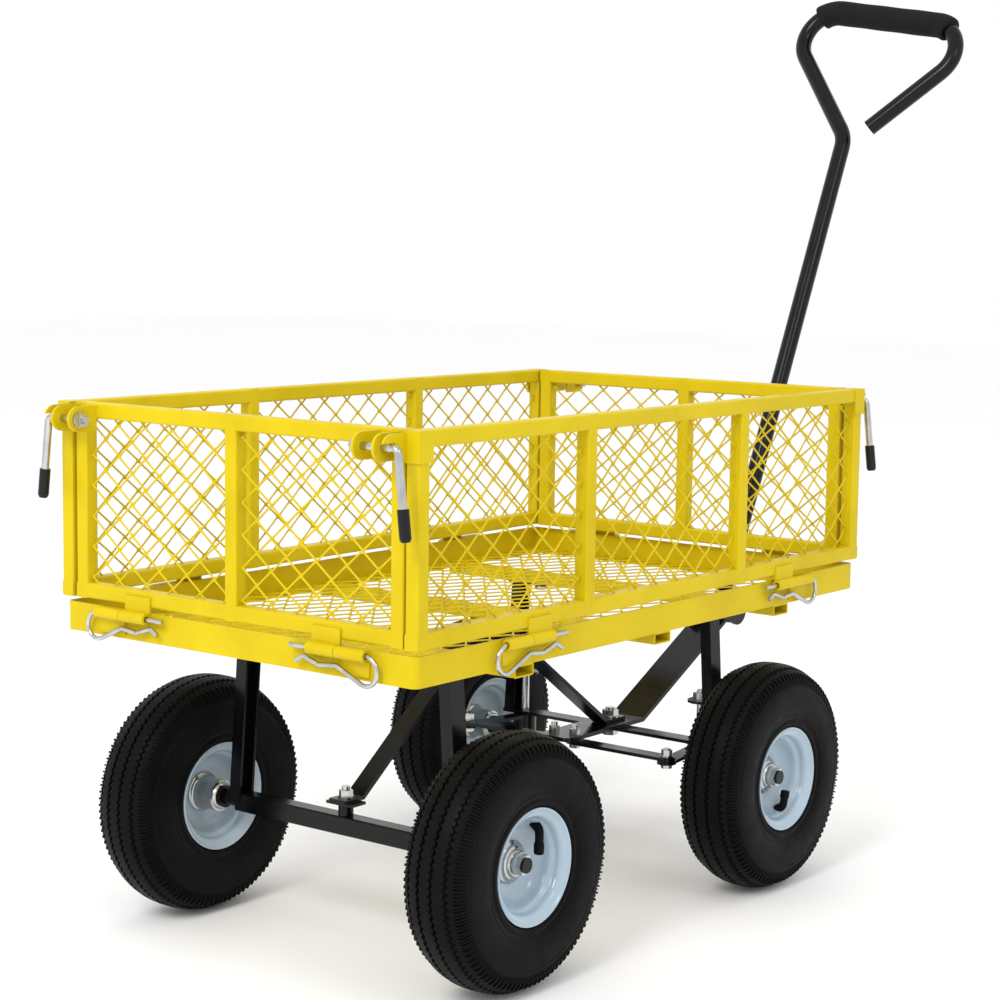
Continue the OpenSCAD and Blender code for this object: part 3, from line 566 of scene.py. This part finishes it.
def handle_path():
    """Centre line of the loop from the stem's top, in mm: points (u, v, foam)."""
    u, v, a = STEM, 0.0, 0.0
    pts = []

    def straight(length, n, on_foam):
        nonlocal u, v
        for i in range(1, n + 1):
            pts.append((u + length * i / n * math.cos(a), v + length * i / n * math.sin(a), on_foam))
        u, v = pts[-1][0], pts[-1][1]

    def bend(r, deg, n, on_foam):
        nonlocal u, v, a
        s = 1 if deg > 0 else -1
        cu, cv = u - s * r * math.sin(a), v + s * r * math.cos(a)
        for i in range(1, n + 1):
            t = a + math.radians(deg) * i / n
            pts.append((cu + s * r * math.sin(t), cv - s * r * math.cos(t), on_foam))
        a += math.radians(deg)
        u, v = pts[-1][0], pts[-1][1]

    bend(BEND_R, LEG - TILT, 8, False)
    straight(LEFT_LEG, 2, False)
    bend(LOOP_R, -(90 + LEG - FOAM_L), 10, False)
    bend(LOOP_R, -FOAM_L, 12, True)
    straight(GRIP, 30, True)
    bend(LOOP_R, -FOAM_R, 9, True)
    return pts


def grip_line():
    """The foam's centre line in metres, and the distance along it at each point."""
    hinge = Vector(JOINTS["handle_fold"]["pos_m"])
    c, s = math.cos(math.radians(LEAN)), math.sin(math.radians(LEAN))
    pts = handle_path()
    start = next(i for i, p in enumerate(pts) if p[2]) - 1
    line = [hinge + Vector((u * s, v, u * c)) * MM for u, v, _ in pts[start:]]
    dist = [0.0]
    for a, b in zip(line, line[1:]):
        dist.append(dist[-1] + (b - a).length)
    return line, dist


def foam_grip():
    """Foam sleeve with rounded ends and a slight swell along its length."""
    line, dist = grip_line()
    total = dist[-1] / MM

    def point(d):
        i = next((i for i in range(1, len(line)) if dist[i] >= d), len(line) - 1)
        return line[i - 1].lerp(line[i], (d - dist[i - 1]) / (dist[i] - dist[i - 1]))

    full, inner, edge = 17.0, 10.9, 4.5
    swell, swell_rate = 0.35, 0.11
    marks = [0.0] + [edge * (1 - math.cos(math.radians(15 * k))) for k in range(1, 7)]
    middle = [edge + (total - 2 * edge) * i / 60 for i in range(1, 60)]
    path, radii = [], []
    for m in marks + middle + [total - m for m in reversed(marks)]:
        path.append(point(m * MM))
        near = min(m, total - m)
        if near < edge:
            r = full - edge + edge * math.sqrt(max(0.0, 1 - (1 - near / edge) ** 2))
        else:
            r = full - swell * (1 + math.sin(m * swell_rate)) * 0.5
        radii.append(r * MM)
    # each end face is one more ring, just beyond the end, so that it has a direction of its own
    path = [path[0] + (path[0] - path[1]) * 0.001] + path + [path[-1] + (path[-1] - path[-2]) * 0.001]
    radii = [inner * MM] + radii + [inner * MM]
    b = Builder()
    b.tube(path, radii, sides=40, caps=False)
    b.done("handle_foam_grip", M_FOAM, "handle", replaces=("handle_grip",), smooth=60)


foam_grip()

# ---------------------------------------------------------------- stage

FLOOR_HALF = 12


def stage_floor():
    me = bpy.data.meshes.new("floor")
    h = FLOOR_HALF
    me.from_pydata([(-h, -h, 0), (h, -h, 0), (h, h, 0), (-h, h, 0)], [], [(0, 1, 2, 3)])
    m, nt, p = new_material("pale_floor")
    cloud = noise(nt, 1.2, 3.0, 0.55, object_coords(nt))
    shade = ramp(nt, cloud.outputs["Fac"], [(0.3, grey(0.97)), (0.7, grey(0.98))])
    link(nt, shade.outputs["Color"], p.inputs["Base Color"])
    p.inputs["Roughness"].default_value = 0.75
    me.materials.append(m)
    o = bpy.data.objects.new("floor", me)
    bpy.context.scene.collection.objects.link(o)


def white_world():
    world = bpy.data.worlds.new("studio")
    bpy.context.scene.world = world
    world.use_nodes = True
    background = world.node_tree.nodes["Background"]
    background.inputs["Color"].default_value = (1.0, 1.0, 1.0, 1)
    background.inputs["Strength"].default_value = 1.0


def area(name, pos, target, size, power):
    """Round area light at pos, turned to the target."""
    d = bpy.data.lights.new(name, "AREA")
    d.shape = "DISK"
    d.size = size
    d.energy = power
    o = bpy.data.objects.new(name, d)
    o.location = pos
    o.rotation_euler = (Vector(target) - Vector(pos)).to_track_quat("-Z", "Y").to_euler()
    bpy.context.scene.collection.objects.link(o)


stage_floor()
white_world()
area("key", (-3.6, -0.5, 3.2), (0, 0, 0.4), 1.8, 85)
area("front", (-1.0, -3.2, 3.0), (0, 0, 0.3), 1.1, 14)

# ---------------------------------------------------------------- camera

AZ, EL, ROLL = math.radians(-52.0115), math.radians(6.854), math.radians(0.7717)
DIST = 2.51714
TARGET = Vector((BED_X + 0.012, -0.00802, 0.4518))
SENSOR = 36
FOCAL = 2.25835  # focal length, in sensor widths


def camera():
    """The camera at AZ, EL and DIST from TARGET, rolled about its own axis."""
    back = Vector((math.sin(AZ) * math.cos(EL), -math.cos(AZ) * math.cos(EL), math.sin(EL)))
    right = (-back).cross(Z).normalized()
    up = right.cross(-back)
    rolled_right = right * math.cos(ROLL) + up * math.sin(ROLL)
    rolled_up = up * math.cos(ROLL) - right * math.sin(ROLL)
    cam = bpy.data.cameras.new("camera")
    cam.lens = FOCAL * SENSOR
    cam.sensor_width = SENSOR
    cam.clip_start, cam.clip_end = 0.05, 60
    o = bpy.data.objects.new("camera", cam)
    turn = Matrix((rolled_right, rolled_up, back)).transposed().to_4x4()
    o.matrix_world = Matrix.Translation(TARGET + back * DIST) @ turn
    bpy.context.scene.collection.objects.link(o)
    bpy.context.scene.camera = o


camera()
bpy.context.scene.view_settings.view_transform = "Standard"
